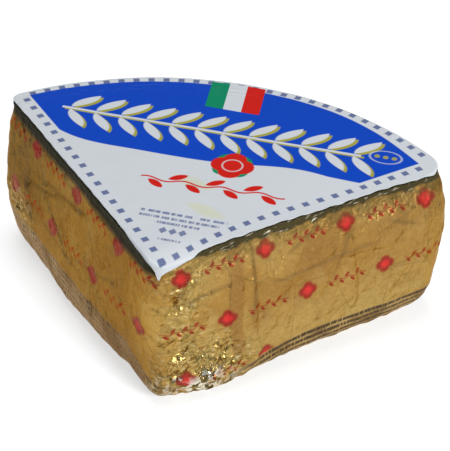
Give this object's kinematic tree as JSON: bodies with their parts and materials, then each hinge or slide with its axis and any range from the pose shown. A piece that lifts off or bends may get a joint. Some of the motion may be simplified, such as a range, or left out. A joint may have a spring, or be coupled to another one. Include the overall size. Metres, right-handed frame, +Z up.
{
  "type": "gorgonzola wedge",
  "caption": "Quarter wedge of a half-height wheel of soft blue cheese, shut in crumpled gold foil, with a printed label sheet folded over its flat top.",
  "frame": {"origin": "under the middle of the bounding box, on the surface that the wedge stands on", "axes": "+Z up, -Y towards the tip of the wedge, +Y towards its rounded rind side, +X to the right when the tip points at the viewer"},
  "size_m": [0.2148, 0.1538, 0.08],
  "materials": {
    "foil": "satin gold-coloured foil, crumpled at the edges, with a small red print",
    "label": "smooth sheet printed in blue, white, red and green"
  },
  "bodies": {
    "root": {"wrapped_wedge": "foil", "top_label": "label"}
  },
  "joints": []
}
